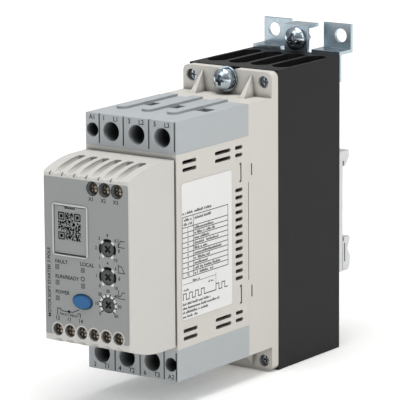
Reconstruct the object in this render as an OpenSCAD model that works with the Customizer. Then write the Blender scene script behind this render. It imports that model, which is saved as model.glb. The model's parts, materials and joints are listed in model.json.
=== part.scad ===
// Three-phase soft starter, one module wide, for a 35 mm top-hat rail.
// X runs across the rail, -Y faces the user, Z is up. The origin is the middle of the rail,
// on the plane of its front face. Forward distances below are measured from that plane.

/* [Body] */
// Width across the rail
body_w = 45; // [40:0.5:54]
// Depth of the heatsink
sink_d = 47.7; // [40:0.1:70]
// Depth of the base frame
base_d = 22; // [21:0.5:26]
// Height of the flange beyond the base frame, at each end
flange_rise = 10.9; // [10.4:0.1:16]
// Height of the main housing
housing_h = 80.4; // [72:0.2:96]
// Height of a terminal block
block_h = 13.3; // [12.8:0.1:16]
// Depth of the main housing and terminal blocks
housing_d = 51.5; // [51:0.5:60]
// Depth of the control head
head_d = 30.6; // [30:0.2:34]
// Wall thickness of the mouldings
wall = 2; // [1.8:0.1:2.2]

/* [Heatsink] */
// Number of air channels
channel_n = 4; // [3:1:5]
// Thickness of the fins between channels
fin_t = 2; // [1.5:0.1:2.5]
// Thickness of the plate that carries the power modules
sink_plate = 7.7; // [7.5:0.1:12]

/* [Control head] */
// Radius of the crowned front of the head
crown_r = 50; // [48:1:70]
// Diameter of the signal terminal holes
signal_hole = 5.1; // [4.6:0.1:5.2]
// Diameter of a setting dial
dial_d = 5.9; // [5.4:0.1:6.4]
// Distance between dials
dial_pitch = 11.35; // [10.8:0.05:11.6]
// Width of the oval button
button_w = 9.6; // [8:0.1:10]
// Height of the oval button
button_h = 5.8; // [5:0.1:6]
// Width of the flap
flap_w = 15.6; // [14:0.1:16]
// Height of the flap above its hinge
flap_h = 18.7; // [17:0.1:19]

/* [Terminals] */
// Width of the control supply column beside the three power terminals
supply_w = 6.9; // [6.5:0.1:7.5]
// Diameter of the screwdriver holes of the power terminals
power_hole = 8; // [7.6:0.1:8.4]
// Diameter of the screwdriver holes of the control supply terminals
supply_hole = 5.8; // [5.4:0.1:6]

/* [Mounting] */
// Depth of the rail behind its front face
rail_depth = 7.5; // [7.5:0.5:15]
// Width of the rail
rail_w = 35; // [35:0.1:35.4]
// Distance of the bracket holes from the sides of the body
bracket_edge = 5.3; // [4.6:0.1:6.5]
// Diameter of the bracket holes
bracket_hole = 6; // [5:0.1:6.4]
// Sheet thickness of the bracket
sheet_t = 1.5; // [1.2:0.1:2]
// Free travel of the rail latch
latch_travel = 4; // [3:0.5:5]

/* [Fits] */
// Gap round moving pieces
move_gap = 0.3; // [0.3:0.05:0.4]
// Gap round fixed pieces that pass through a hole
seat_gap = 0.1; // [0.05:0.01:0.15]
// Radial clearance of a running journal
run_gap = 0.05; // [0.03:0.01:0.08]

/* [Hidden] */
$fn = 64;
eps = 0.2;
block_step = 0.1;
hw = body_w / 2;
hz = housing_h / 2;
block_top = hz + block_h;
bz = block_top - block_step;
sz = bz + flange_rise;

// Forward distances of the faces
clip_t = 3;
f_sink = clip_t + sink_d;
f_base = f_sink + base_d;
f_body = f_base + housing_d;
f_front = f_body + head_d;
flange_t = 4.8;
flange_z = sz - 0.3;
f_flange = f_sink + flange_t;

// Terminal block rows
row_z = hz + block_h / 2 - 0.25;
power_pitch = (body_w - supply_w) / 3;
power_edge = 6.8;
power_x = [for (i = [-2:0]) hw - power_edge + i * power_pitch];
supply_edge = 3.4;
supply_x = supply_edge - hw;
column_x = [for (i = [0:1]) power_x[i] + power_pitch / 2 - 0.25];
divider_x = concat([2 * supply_edge - hw], column_x);
edge_x = hw - 0.75;
f_cage0 = f_body - 36;
f_cage1 = f_cage0 + 13;
head_depth = 12;

// Control head
head_hw_front = hw - 1.1;
head_hw_rear = hw - 0.5;
head_top = hz - 1.9;
head_bot = -(hz - 1.4);
f_crown = f_front - 20.3;
cav_hw = head_hw_front - wall;
front_wall = 3;
f_wall = f_front - front_wall;
film_t = 1;
f_film = f_front - film_t;
plate_hw = hw - 1.7;
plate_top = head_top - 5.7;
plate_bot = head_bot + 6.6;
f_board = f_front - 20.8;
board_t = 1.6;
signal_side = 4.35;
signal_pitch = (body_w - 2 * signal_side) / 6;
signal_x = [for (i = [0:5]) 0.4 + (i - 2.5) * signal_pitch];
upper_z = head_top - 8.6;
lower_z = head_bot + 8.75;
wire_d = 3;
f_wire = f_front - 17.3;
flute_r = wire_d / 2 + 0.25;
f_flute = f_wire - 0.5;
scallop_ridge = 0.24;
scallop_r = (signal_pitch - scallop_ridge) / 2;
f_scallop = f_front - 19.3;
dial_edge = 10.2;
lamp_edge = 6.15;
dial_x = plate_hw - dial_edge;
button_x = (dial_x + lamp_edge - plate_hw) / 2 - 0.025;
lamp_x = [lamp_edge - plate_hw, button_x + 0.23];
lamp_z = [-4.2, -10.6, -17.1];
lamp_at = concat([for (z = lamp_z) [lamp_x[0], z]], [for (i = [0:1]) [lamp_x[1], lamp_z[i]]]);
lamp_w = 1.9;
lamp_h = 2;
dial_z = [for (i = [1:-1:-1]) -5.45 + i * dial_pitch];
dial_hole = dial_d + 2 * move_gap;
button_at = [button_x, -17.05];
button_travel = 1;

// Flap and its frame
flap_edge = 5.2;
flap_x0 = flap_edge - plate_hw;
hinge_z = 2.3;
flap_t = 1.5;
f_hinge = f_front - flap_t / 2;
knuckle_r = flap_t / 2 + 0.05;
frame_wall = 0.8;
frame_x0 = flap_x0 - move_gap - frame_wall;
frame_x1 = flap_x0 + flap_w + move_gap + frame_wall;
frame_z0 = hinge_z - knuckle_r - move_gap - 0.05 - frame_wall * 0.7;
frame_z1 = hinge_z + flap_h + move_gap + frame_wall;
frame_proud = 0.3;
f_frame = f_wall - 1.2;

// Mounting bracket
bracket_hw = hw - 0.1;
bracket_pitch = body_w - 2 * bracket_edge;
ear_top = sz + 12.3;
ear_z = sz + 7.1;
foot_x = 8;

// Rail clip and latch
clip_hw = hw - 0.3;
clip_top = rail_w / 2 + 4.5;
clip_bot = -31;
lip_gap = 1.2;
rail_clear = 0.2;
tongue_x = 12;
spring_r = 1.05;
spring_wire = 0.22;
spring_foot = clip_bot + 2;
latch_lug = -18;

// Block between two forward distances
module slab(x0, x1, f0, f1, z0, z1)
    translate([x0, -f1, z0]) cube([x1 - x0, f1 - f0, z1 - z0]);

// Round bar that points forward
module peg(x, z, f0, f1, r)
    translate([x, -f0, z]) rotate([90, 0, 0]) cylinder(r = r, h = f1 - f0);

// Round bar whose radius changes on the way forward
module cone(x, z, f0, f1, r0, r1)
    translate([x, -f0, z]) rotate([90, 0, 0]) cylinder(r1 = r0, r2 = r1, h = f1 - f0);

// Pan head: a round bar whose front is the cap of a ball
module pan_head(x, z, f0, f1, r, cap) intersection() {
    ball = (r * r + cap * cap) / (2 * cap);
    peg(x, z, f0, f1, r);
    translate([x, ball - f1, z]) sphere(ball, $fn = 128);
}

// Upright round bar
module post(x, f, z0, z1, r)
    translate([x, -f, z0]) cylinder(r = r, h = z1 - z0);

// Outline seen from the front, drawn in X and Z
module front_run(f0, f1)
    translate([0, -f0, 0]) rotate([90, 0, 0]) linear_extrude(f1 - f0) children();

// Outline seen from the side, drawn in forward distance and Z
module side_run(x0, x1)
    translate([x1, 0, 0]) rotate([90, 0, -90]) linear_extrude(x1 - x0) children();

// Outline seen from above, drawn in X and forward distance
module plan_run(z0, z1)
    translate([0, 0, z0]) mirror([0, 1, 0]) linear_extrude(z1 - z0) children();

module both_sides() {
    children();
    mirror([1, 0, 0]) children();
}

module both_ends() {
    children();
    mirror([0, 0, 1]) children();
}

module bottom_row()
    rotate([0, 180, 0]) children();

// Rectangle with rounded corners, from corner to corner
module round_rect(x0, y0, x1, y1, r) {
    translate([x0 + r, y0]) square([x1 - x0 - 2 * r, y1 - y0]);
    translate([x0, y0 + r]) square([x1 - x0, y1 - y0 - 2 * r]);
    for (x = [x0 + r, x1 - r])
        for (y = [y0 + r, y1 - r])
            translate([x, y]) circle(r);
}

module stadium(x0, x1, y, h) {
    translate([x0 + h / 2, y - h / 2]) square([x1 - x0 - h, h]);
    for (x = [x0 + h / 2, x1 - h / 2])
        translate([x, y]) circle(h / 2, $fn = 24);
}

module oval(w, h)
    polygon([for (a = [0:7.5:352.5]) [w / 2 * cos(a), h / 2 * sin(a)]]);

// Cross recess pressed into a screw head whose face is at f
module cross_recess(x, z, f, size, depth) {
    slab(x - size / 2, x + size / 2, f - depth, f + eps, z - size / 8, z + size / 8);
    slab(x - size / 8, x + size / 8, f - depth, f + eps, z - size / 2, z + size / 2);
}

// Deep driver recess with wide arms and a coned middle
module star_recess(x, z, f, size, depth) {
    for (a = [0, 90]) translate([x, 0, z]) rotate([0, a, 0])
        slab(-size / 2, size / 2, f - depth, f + eps, -size / 6, size / 6);
    cone(x, z, f - depth - 0.4, f + eps, size / 8, size / 3);
}

// Heatsink
sink_wall = 1.5;
sink_back = 5;
channel_w = (body_w - 2 * sink_wall - (channel_n - 1) * fin_t) / channel_n;
channel_step = channel_w + fin_t;
f_chan0 = clip_t + sink_back;
f_chan1 = f_sink - sink_plate;
corner_at = [hw - 4.2, sz - 4.6];
earth_z = sz - 4.6;
fix_at = [8, sz - 6];
clip_screw_at = [16, 8];
screw_reach = 6;
frame_shank = 1.5;
fix_shank = 1.7;
clip_shank = 1.4;
thread_in = 4;

module channel_outline(x) {
    c = channel_w / 2;
    slope = c * 0.7;
    polygon([[x - c, f_chan0 + slope], [x - c * 0.3, f_chan0], [x + c * 0.3, f_chan0],
        [x + c, f_chan0 + slope], [x + c, f_chan1 - slope], [x + c * 0.3, f_chan1],
        [x - c * 0.3, f_chan1], [x - c, f_chan1 - slope]]);
}

module heatsink() color("#343537") difference() {
    slab(-hw, hw, clip_t, f_sink, -sz, sz);
    plan_run(-sz - 1, sz + 1)
        for (i = [0:channel_n - 1]) channel_outline((i - (channel_n - 1) / 2) * channel_step);
    for (x = [-1, 1])
        for (z = [-1, 1])
            peg(x * corner_at[0], z * corner_at[1], f_sink - screw_reach - eps, f_sink + 1,
                frame_shank + seat_gap);
    peg(0, earth_z, f_sink - screw_reach - eps, f_sink + 1, earth_r + seat_gap);
    for (x = [-1, 1]) {
        peg(x * fix_at[0], fix_at[1], clip_t - 1, clip_t + thread_in + eps, fix_shank + seat_gap);
        peg(x * clip_screw_at[0], clip_screw_at[1], clip_t - 1, clip_t + thread_in + eps,
            clip_shank + seat_gap);
    }
}

// Base frame
earth_r = 2.5;
slot_r = earth_r + 2 * seat_gap;
slot_flare = 1.6;
gusset_x = 12.5;
gusset_w = 2.8;
gusset_tip = 0.6;
gusset_z = flange_z - 1.7;
gusset_run = 7.6;
recess_r = 2.55;
recess_floor = 1.2;
f_ledge = f_base - 5.3;
hook_z = hz - 14.45;
hook_h = 8;
hook_t = 1.3;
mark_w = 0.8;
mark_in = 0.7;
ledge_z = bz - 23.4;
ledge_w = 1.8;
ledge_foot = 9;
flange_corner = 2.5;
hook_out = 8;
hook_root = 4;
f_base_mark = f_base - 2.6;
base_mark_half = 2.5;

// Wedge between flange and frame, wide at its foot
module gusset() intersection() {
    side_run(gusset_x - gusset_w, gusset_x + gusset_w)
        polygon([[f_flange - eps, bz - eps], [f_flange - eps, gusset_z], [f_flange, gusset_z],
            [f_flange + gusset_run, bz], [f_flange + gusset_run, bz - eps]]);
    front_run(f_flange - eps, f_flange + gusset_run)
        polygon([[gusset_x - gusset_w / 2, bz - eps], [gusset_x + gusset_w / 2, bz - eps],
            [gusset_x + gusset_tip / 2, gusset_z], [gusset_x - gusset_tip / 2, gusset_z]]);
}

module base_frame() color("#d6d3cb") difference() {
    union() {
        difference() {
            union() {
                slab(-hw, hw, f_sink, f_base, -bz, bz);
                front_run(f_sink, f_flange) round_rect(-hw, -flange_z, hw, flange_z, flange_corner);
            }
            slab(-hw + wall, hw - wall, f_sink - 1, f_base + 1, -bz + wall, bz - wall);
        }
        both_ends() both_sides() gusset();
        both_sides() slab(hw - wall - ledge_w, hw - wall + eps, f_sink + ledge_foot, f_ledge - board_t,
            -ledge_z, ledge_z);
        both_ends() both_sides() slab(hw - wall - seat_gap - hook_t, hw - wall - seat_gap,
            f_base - 1, f_base + hook_out, hook_z - hook_h / 2, hook_z + hook_h / 2);
        both_ends() both_sides() slab(hw - wall - seat_gap - hook_t, hw - wall + eps,
            f_base - hook_root, f_base, hook_z - hook_h / 2, hook_z + hook_h / 2);
    }
    front_run(f_sink - 1, f_flange + 1) {
        translate([0, earth_z]) circle(slot_r);
        polygon([[-slot_r, earth_z], [slot_r, earth_z], [slot_r, flange_z - slot_flare],
            [slot_r + slot_flare, flange_z + eps], [-slot_r - slot_flare, flange_z + eps],
            [-slot_r, flange_z - slot_flare]]);
    }
    for (x = [-1, 1])
        for (z = [-1, 1]) {
            peg(x * corner_at[0], z * corner_at[1], f_sink + recess_floor, f_flange + 1, recess_r);
            peg(x * corner_at[0], z * corner_at[1], f_sink - 1, f_flange, frame_shank + seat_gap);
        }
    both_ends() both_sides() slab(hw - mark_in, hw + 1, f_base_mark, f_base_mark + mark_w,
        hook_z - base_mark_half, hook_z + base_mark_half);
}

// Main housing
vent_h = 1.5;
vent_rows = [hz - 3.8, hz - 6.95];
vent_runs = [[f_body - 14.1, f_body - 4.3], [f_base + 13.1, f_base + 24.3],
    [f_base + 4.5, f_base + 9.8]];
vent_pitch = 3.1;
split_w = 0.35;
bus_slot_f = f_cage0 - 4.5;
bus_t = 1;
bus_w = 5;
bus_drop = 5.5;
f_body_mark = f_base + 5.2;
body_mark_run = 1.6;
body_mark_half = 4;
split_in = 5;

module main_housing() color("#d6d3cb") difference() {
    slab(-hw, hw, f_base, f_body, -hz, hz);
    slab(-hw + wall, hw - wall, f_base - 1, f_body + 1, -hz + wall, hz - wall);
    side_run(-hw - 1, hw + 1) {
        for (z = vent_rows)
            for (run = vent_runs)
                for (s = [-1, 1]) stadium(run[0], run[1], s * z, vent_h);
        for (i = [-6:6]) stadium(vent_runs[2][0], vent_runs[2][1], i * vent_pitch, vent_h);
    }
    for (x = power_x) {
        slab(x - bus_w / 2 - seat_gap, x + bus_w / 2 + seat_gap, bus_slot_f - seat_gap,
            bus_slot_f + bus_t + seat_gap, hz - wall - 1, hz + 1);
        bottom_row() slab(x - bus_w / 2 - seat_gap, x + bus_w / 2 + seat_gap, bus_slot_f - seat_gap,
            bus_slot_f + bus_t + seat_gap, hz - wall - 1, hz + 1);
    }
    both_ends() both_sides() {
        slab(hw - mark_in, hw + 1, f_body_mark, f_body_mark + mark_w, hook_z - body_mark_half,
            hook_z + body_mark_half);
        for (z = [-body_mark_half, body_mark_half - mark_w])
            slab(hw - mark_in, hw + 1, f_body_mark, f_body_mark + body_mark_run, hook_z + z,
                hook_z + z + mark_w);
    }
    both_sides() slab(hw - mark_in, hw + 1, f_base - 1, f_base + split_w, split_in - hook_z,
        hook_z - split_in);
}

// Terminal blocks
cage_hw = 4.7;
cage_h = block_h - 3.6;
cage_z = hz + bus_t;
pocket_top = cage_z + cage_h + move_gap;
entry_hw = 3.1;
f_entry0 = f_cage0 + 2.6;
f_entry1 = f_entry0 + 6.6;
supply_hw = 2.2;
island_h = 1;
island_w = power_pitch - 2 * entry_hw - 1.5;
island_x = [for (x = power_x) x - power_pitch / 2 + 0.4];
f_island = f_body - 16.2;
supply_entry = 1.35;
supply_entry_x = supply_x - 0.55;
groove_w = 0.6;
groove_in = 0.7;
groove_foot = 1.2;
entry_foot = 2;
cage_floor = 1.5;
passage_room = 0.3;
power_passage = entry_hw + 0.2;
supply_passage = 1.5;
power_shank = 2.5;
supply_shank = 1.25;
screw_h = 3;
screw_recess = 1.6;
screw_room = 0.4;

// Raised cable guide with a round front end, between two entries
module island(x) plan_run(block_top - eps, block_top + island_h) {
    translate([x - island_w / 2, f_base]) square([island_w, f_island - f_base]);
    translate([x, f_island]) circle(island_w / 2);
}

// The side, 1 or -1, has a groove near its edge
module terminal_block(side) difference() {
    union() {
        slab(-hw, hw, f_base, f_body, hz, block_top);
        for (x = island_x) island(x);
    }
    for (x = power_x) {
        peg(x, row_z, f_cage1 - 1, f_body + 1, power_hole / 2);
        slab(x - cage_hw - move_gap, x + cage_hw + move_gap, f_cage0 - seat_gap, f_cage1 + seat_gap,
            hz - 1, pocket_top);
        slab(x - bus_w / 2 - move_gap, x + bus_w / 2 + move_gap, bus_slot_f - move_gap, f_cage0 + 1,
            hz - 1, cage_z + move_gap);
        slab(x - entry_hw, x + entry_hw, f_entry0, f_entry1, hz + entry_foot, block_top + 1);
    }
    peg(supply_x, row_z, f_cage1 - 1, f_body + 1, supply_hole / 2);
    slab(supply_x - supply_hw - seat_gap, supply_x + supply_hw + seat_gap, f_cage0 - seat_gap,
        f_cage1 + seat_gap, hz - 1, pocket_top);
    slab(supply_entry_x - supply_entry, supply_entry_x + supply_entry, f_entry0, f_entry1 - 2,
        hz + entry_foot, block_top + 1);
    for (x = concat(divider_x, [side * edge_x]))
        slab(x - groove_w / 2, x + groove_w / 2, f_body - groove_in, f_body + 1, hz + groove_foot,
            block_top + 1);
}

module upper_terminal_block() color("#a3abb1") terminal_block(1);

module lower_terminal_block() color("#a3abb1") bottom_row() terminal_block(-1);

// One clamp cage with an upright cable passage and a tapped front wall
module clamp_cage(x, half, z0, passage, shank_r) difference() {
    slab(x - half, x + half, f_cage0, f_cage1, z0, cage_z + cage_h);
    slab(x - passage, x + passage, f_entry0 - passage_room, f_entry1 + passage_room,
        z0 + cage_floor, block_top);
    peg(x, row_z, f_entry1 - 1, f_cage1 + 1, shank_r + seat_gap);
}

module clamp_row() {
    for (x = power_x) clamp_cage(x, cage_hw, cage_z, power_passage, power_shank);
    clamp_cage(supply_x, supply_hw, hz, supply_passage, supply_shank);
}

// Screw with its head face at head_depth behind the front of the block
module terminal_screw(x, head_r, shank_r) difference() {
    union() {
        peg(x, row_z, f_body - head_depth - screw_h, f_body - head_depth, head_r);
        peg(x, row_z, f_entry1 - 0.2, f_body - head_depth - screw_h, shank_r);
    }
    cross_recess(x, row_z, f_body - head_depth, head_r * 1.2, screw_recess);
}

module screw_row() {
    for (x = power_x) terminal_screw(x, power_hole / 2 - screw_room, power_shank);
    terminal_screw(supply_x, supply_hole / 2 - screw_room, supply_shank);
}

// Strip from under a cage, down through the housing roof and back to the power board
module busbar_row() for (x = power_x) side_run(x - bus_w / 2, x + bus_w / 2)
    polygon([[f_cage1 - 1, hz], [f_cage1 - 1, cage_z], [bus_slot_f, cage_z],
        [bus_slot_f, hz - bus_drop], [f_ledge, hz - bus_drop], [f_ledge, hz - bus_drop - bus_t],
        [bus_slot_f + bus_t, hz - bus_drop - bus_t], [bus_slot_f + bus_t, hz]]);

module line_clamps() color("#b9bcc0") clamp_row();

module load_clamps() color("#b9bcc0") bottom_row() clamp_row();

module line_screws() color("#8c9096") screw_row();

module load_screws() color("#8c9096") bottom_row() screw_row();

module line_busbars() color("#b8734a") busbar_row();

module load_busbars() color("#b8734a") bottom_row() busbar_row();

// Control head, a crowned shell with a narrow wire flute above and a wide one below every
// signal terminal
corner_r = 1.2;
crown_run = f_front - f_crown;
front_top = head_top - crown_r + sqrt(crown_r * crown_r - crown_run * crown_run);
flute_tilt = 9;
scallop_z = head_bot + 2.3;
rim_t = 2.5;
seam = 0.7;
f_seam = f_body + seam;
roof_in = 5.4;
floor_in = 6.4;
surround_r = 3.1;
boss_r = 2;
boss_x = hw - 4.9;
plate_corner = 0.8;
frame_corner = 1.6;
lip_w = 0.6;
lip_in = 1.2;
lip_drop = 0.8;
boss_at = [[boss_x, upper_z - 8.7], [boss_x, lower_z + 8], [-boss_x, upper_z - 5.2],
    [-boss_x, lower_z + 7.5]];

module rod(x0, x1, f, z, r)
    translate([x0, -f, z]) rotate([0, 90, 0]) cylinder(r = r, h = x1 - x0);

module head_side() {
    translate([f_seam, head_bot]) square([f_crown - f_seam + eps, head_top - head_bot]);
    intersection() {
        translate([f_crown, head_bot]) square([crown_run, head_top - head_bot]);
        translate([f_crown, head_top - crown_r]) circle(crown_r, $fn = 256);
        translate([f_crown, head_bot + crown_r]) circle(crown_r, $fn = 256);
    }
}

module head_plan() {
    polygon([[-head_hw_rear, f_seam], [head_hw_rear, f_seam], [head_hw_front, f_front - corner_r],
        [head_hw_front - corner_r, f_front], [corner_r - head_hw_front, f_front],
        [-head_hw_front, f_front - corner_r]]);
    for (s = [-1, 1])
        translate([s * (head_hw_front - corner_r), f_front - corner_r]) circle(corner_r);
}

module head_cavity() side_run(-cav_hw, cav_hw)
    polygon([[f_body - 5, head_top - wall], [f_crown - 0.5, head_top - wall],
        [f_crown - 0.5, head_top - roof_in], [f_wall - 5.8, head_top - roof_in],
        [f_wall, head_top - roof_in - 0.6], [f_wall, head_bot + floor_in + 0.4],
        [f_wall - 5.8, head_bot + floor_in], [f_crown - 0.5, head_bot + floor_in],
        [f_crown - 0.5, head_bot + wall], [f_body - 5, head_bot + wall]]);

module frame_outline()
    round_rect(frame_x0, frame_z0, frame_x1, frame_z1, frame_corner);

module plate_holes() {
    frame_outline();
    for (z = dial_z) translate([dial_x, z]) circle(dial_hole / 2);
    translate(button_at) oval(button_w + 2 * move_gap, button_h + 2 * move_gap);
    for (p = lamp_at) translate(p) square([lamp_w, lamp_h], center = true);
    for (i = [3:5]) translate([signal_x[i], upper_z]) circle(signal_hole / 2);
}

module plate_outline() difference() {
    round_rect(-plate_hw, plate_bot, plate_hw, plate_top, plate_corner);
    for (x = signal_x) translate([x, lower_z]) circle(surround_r);
    translate([signal_x[0], plate_bot - 1]) square([5 * signal_pitch, lower_z - plate_bot + 1.5]);
}

module control_head() color("#cfcdc6") difference() {
    union() {
        difference() {
            union() {
                intersection() {
                    side_run(-hw, hw) head_side();
                    plan_run(-hz - 5, hz + 5) head_plan();
                }
                slab(-hw + wall + seat_gap, hw - wall - seat_gap, f_body - rim_t, f_seam + eps,
                    -hz + wall + seat_gap, hz - wall - seat_gap);
            }
            head_cavity();
        }
        for (p = boss_at) peg(p[0], p[1], f_board, f_wall + eps, boss_r);
    }
    front_run(f_film, f_front + 1) plate_outline();
    front_run(f_wall - 1, f_front + 1) {
        plate_holes();
        for (x = signal_x) translate([x, lower_z]) circle(signal_hole / 2);
    }
    for (x = signal_x) {
        translate([x, -f_flute, head_top]) rotate([90 + flute_tilt, 0, 0])
            cylinder(r = flute_r, h = crown_run + 5);
        peg(x, scallop_z, f_scallop, f_front + 5, scallop_r);
        post(x, f_wire, head_top - roof_in - 1, head_top + 1, wire_d / 2);
        post(x, f_wire, head_bot, head_bot + floor_in + 1, wire_d / 2);
        slab(x - (signal_pitch + lip_w) / 2, x - (signal_pitch - lip_w) / 2, f_front - lip_in,
            f_front + 1, front_top - lip_drop, head_top);
    }
}

module faceplate() color("#8f9190") difference() {
    front_run(f_film, f_front) plate_outline();
    front_run(f_film - 1, f_front + 1) plate_holes();
}

// Flap, its frame and what is behind it
pin_r = 0.5;
pin_len = 0.6;
hinge_gap = 0.35;
frame_stop = 1.2;
grip_w = 5.2;
grip_x = flap_x0 + flap_w / 2 - 2.7;
knuckle_cut = 2.8;
port_w = 9;
port_x = flap_x0 + 3.1;
port_z = hinge_z + 4.7;
port_d = 9;
port_wall = 1;
port_floor = 3;
grip_in = 0.8;
grip_h = 0.9;

module flap_frame() color("#b4b5b3") difference() {
    front_run(f_frame, f_front + frame_proud) frame_outline();
    slab(frame_x0 + frame_wall, frame_x1 - frame_wall, f_front - flap_t - move_gap, f_front + 1,
        hinge_z - knuckle_r - hinge_gap, frame_z1 - frame_wall);
    slab(frame_x0 + frame_wall, frame_x1 - frame_wall, f_frame - 1, f_front,
        hinge_z - knuckle_r - hinge_gap, frame_z1 - frame_wall - frame_stop);
    rod(frame_x0 - 1, frame_x1 + 1, f_hinge, hinge_z, pin_r + run_gap);
}

module service_flap() color("#979998") difference() {
    union() {
        slab(flap_x0, flap_x0 + flap_w, f_front - flap_t, f_front, hinge_z, hinge_z + flap_h);
        rod(flap_x0, flap_x0 + flap_w, f_hinge, hinge_z, knuckle_r);
        rod(flap_x0 - move_gap - pin_len, flap_x0 + flap_w + move_gap + pin_len, f_hinge, hinge_z,
            pin_r);
    }
    slab(grip_x, grip_x + grip_w, f_front - grip_in, f_front + 1, hinge_z + flap_h - grip_h,
        hinge_z + flap_h + 1);
    for (x = [flap_x0 - eps, flap_x0 + flap_w - knuckle_cut + eps])
        slab(x, x + knuckle_cut, f_hinge + pin_r, f_front + 1, hinge_z - 1, hinge_z - 0.2);
}

module service_port() color("#2b2b2d") difference() {
    slab(port_x, port_x + port_w, f_board, f_board + port_d, port_z, port_z + port_w);
    slab(port_x + port_wall, port_x + port_w - port_wall, f_board + port_floor, f_board + port_d + 1,
        port_z + port_wall, port_z + port_w - port_wall);
}

// Button and its switch
f_switch = f_board + 4.2;
button_proud = 0.8;
button_lip = 1.3;
button_step = 0.3;
button_rim = 0.35;
button_stem = 1.5;
tact_w = 6;
tact_h = 3.5;
tact_stem = 1.7;

module reset_button() color("#2f6db5") {
    translate([button_at[0], 0, button_at[1]]) {
        front_run(f_wall - 1, f_front + button_proud - button_step) oval(button_w, button_h);
        front_run(f_front, f_front + button_proud)
            oval(button_w - 2 * button_rim, button_h - 2 * button_rim);
        front_run(f_wall - move_gap - 1, f_wall - move_gap)
            oval(button_w + 2 * button_lip, button_h + 2 * button_lip);
    }
    peg(button_at[0], button_at[1], f_switch + button_travel + move_gap, f_wall - 1,
        button_stem);
}

module tact_switch() color("#3c3d40") {
    slab(button_at[0] - tact_w / 2, button_at[0] + tact_w / 2, f_board, f_board + tact_h,
        button_at[1] - tact_w / 2, button_at[1] + tact_w / 2);
    peg(button_at[0], button_at[1], f_board, f_switch, tact_stem);
}

// Dials and the switches that they turn
f_rotary = f_board + 7.5;
rotary_w = 9;
journal_r = 1.5;
journal_len = 5;
dial_sunk = 0.2;
dial_neck = 2.5;
dial_recess = 1.3;

module dial(z) difference() {
    union() {
        peg(dial_x, z, f_wall - 0.5, f_front - dial_sunk, dial_d / 2);
        peg(dial_x, z, f_rotary + move_gap, f_wall, dial_neck);
        peg(dial_x, z, f_rotary - journal_len, f_rotary + 1, journal_r);
    }
    translate([dial_x, 0, z]) rotate([0, 45, 0])
        cross_recess(0, 0, f_front - dial_sunk, dial_d * 0.6, dial_recess);
}

module upper_dial() color("#55575a") dial(dial_z[0]);

module middle_dial() color("#55575a") dial(dial_z[1]);

module lower_dial() color("#55575a") dial(dial_z[2]);

module rotary_switches() color("#2b2b2d") for (z = dial_z) difference() {
    slab(dial_x - rotary_w / 2, dial_x + rotary_w / 2, f_board, f_rotary,
        z - rotary_w / 2, z + rotary_w / 2);
    peg(dial_x, z, f_rotary - journal_len - move_gap, f_rotary + 1, journal_r + run_gap);
}

module light_pipes() color("#6d6f6c") for (p = lamp_at)
    slab(p[0] - lamp_w / 2 + seat_gap, p[0] + lamp_w / 2 - seat_gap, f_board, f_front,
        p[1] - lamp_h / 2 + seat_gap, p[1] + lamp_h / 2 - seat_gap);

// Signal terminals
signal_hw = 2.4;
signal_half = 2.2;
signal_len = 12;
signal_shank = 1.25;
signal_head = signal_hole / 2 - 0.2;
signal_depth = 1;
signal_head_h = 2;
signal_cap = 0.6;
signal_recess = 1.1;
passage_hw = 1.6;
passage_d = 3.4;
passage_h = 1.3;
passage_run = 4;

module signal_cage(x, z, side) difference() {
    slab(x - signal_hw, x + signal_hw, f_board, f_board + signal_len, z - signal_half, z + signal_half);
    slab(x - passage_hw, x + passage_hw, f_wire - passage_d / 2, f_wire + passage_d / 2,
        z - passage_h + min(side, 0) * passage_run, z + passage_h + max(side, 0) * passage_run);
    peg(x, z, f_wire, f_board + signal_len + 1, signal_shank + seat_gap);
}

module signal_screw(x, z) difference() {
    union() {
        pan_head(x, z, f_front - signal_depth - signal_head_h, f_front - signal_depth, signal_head,
            signal_cap);
        peg(x, z, f_wire + 1, f_front - signal_depth - signal_head_h, signal_shank);
    }
    cross_recess(x, z, f_front - signal_depth, 1.5 * signal_head, signal_recess);
}

module upper_signal_clamps() color("#b9bcc0") for (i = [3:5]) signal_cage(signal_x[i], upper_z, 1);

module upper_signal_screws() color("#6e6259") for (i = [3:5]) signal_screw(signal_x[i], upper_z);

module lower_signal_clamps() color("#b9bcc0") for (x = signal_x) signal_cage(x, lower_z, -1);

module lower_signal_screws() color("#6e6259") for (x = signal_x) signal_screw(x, lower_z);

// Boards
control_gap = 0.6;
power_gap = 0.3;
power_in = 1.4;

module control_board() color("#2f6b45")
    slab(control_gap - cav_hw, cav_hw - control_gap, f_board - board_t, f_board,
        lower_z - signal_half + 0.65, upper_z + signal_half + 1.5);

// Room between the housing wall and the parts on the power board
part_room = 1.9;
part_x = hw - wall - part_room;
choke_w = 8.2;
choke_z = [-16, 2];
link_gap = 1.4;
link_in = 22.2;
link_x = choke_w - part_x + link_gap;
link_hz = hz - link_in;

module link_board() color("#2f6b45")
    slab(link_x, link_x + board_t, f_ledge, f_board - board_t, -link_hz, link_hz);

module power_board() color("#2f6b45")
    slab(power_gap + wall - hw, hw - wall - power_gap, f_ledge - board_t, f_ledge,
        wall + power_in - bz, bz - wall - power_in);

// Power parts
module_h = 9.5;
module_in = 7;
module_hw = hw - module_in;
module_z0 = 6;
module_end = 2.2;
module_z1 = hz - module_end;
module_pin = 0.6;
pin_end = 8;
pin_z = module_z1 - pin_end;
pin_in = 5.5;
pin_step = module_hw - pin_in;
relay_w = 17.6;
relay_h = 14;
relay_d = 26;
relay_end = 7.2;
relay_pitch = (hz - relay_end) * 2 / 3;
coil_r = 4.4;
coil_hole = 2;
coil_h = 8;
choke_h = 20;
can_r = 3.6;
can_h = 16;
can_gap = 0.6;
can_space = 0.8;
can_z = choke_z[1] + can_r + can_gap;

module thyristor_modules() color("#26272a") both_ends() {
    slab(-module_hw, module_hw, f_sink, f_sink + module_h, module_z0, module_z1);
    for (i = [-1:1]) peg(i * pin_step, pin_z, f_sink + 1, f_ledge - board_t, module_pin);
}

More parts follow.
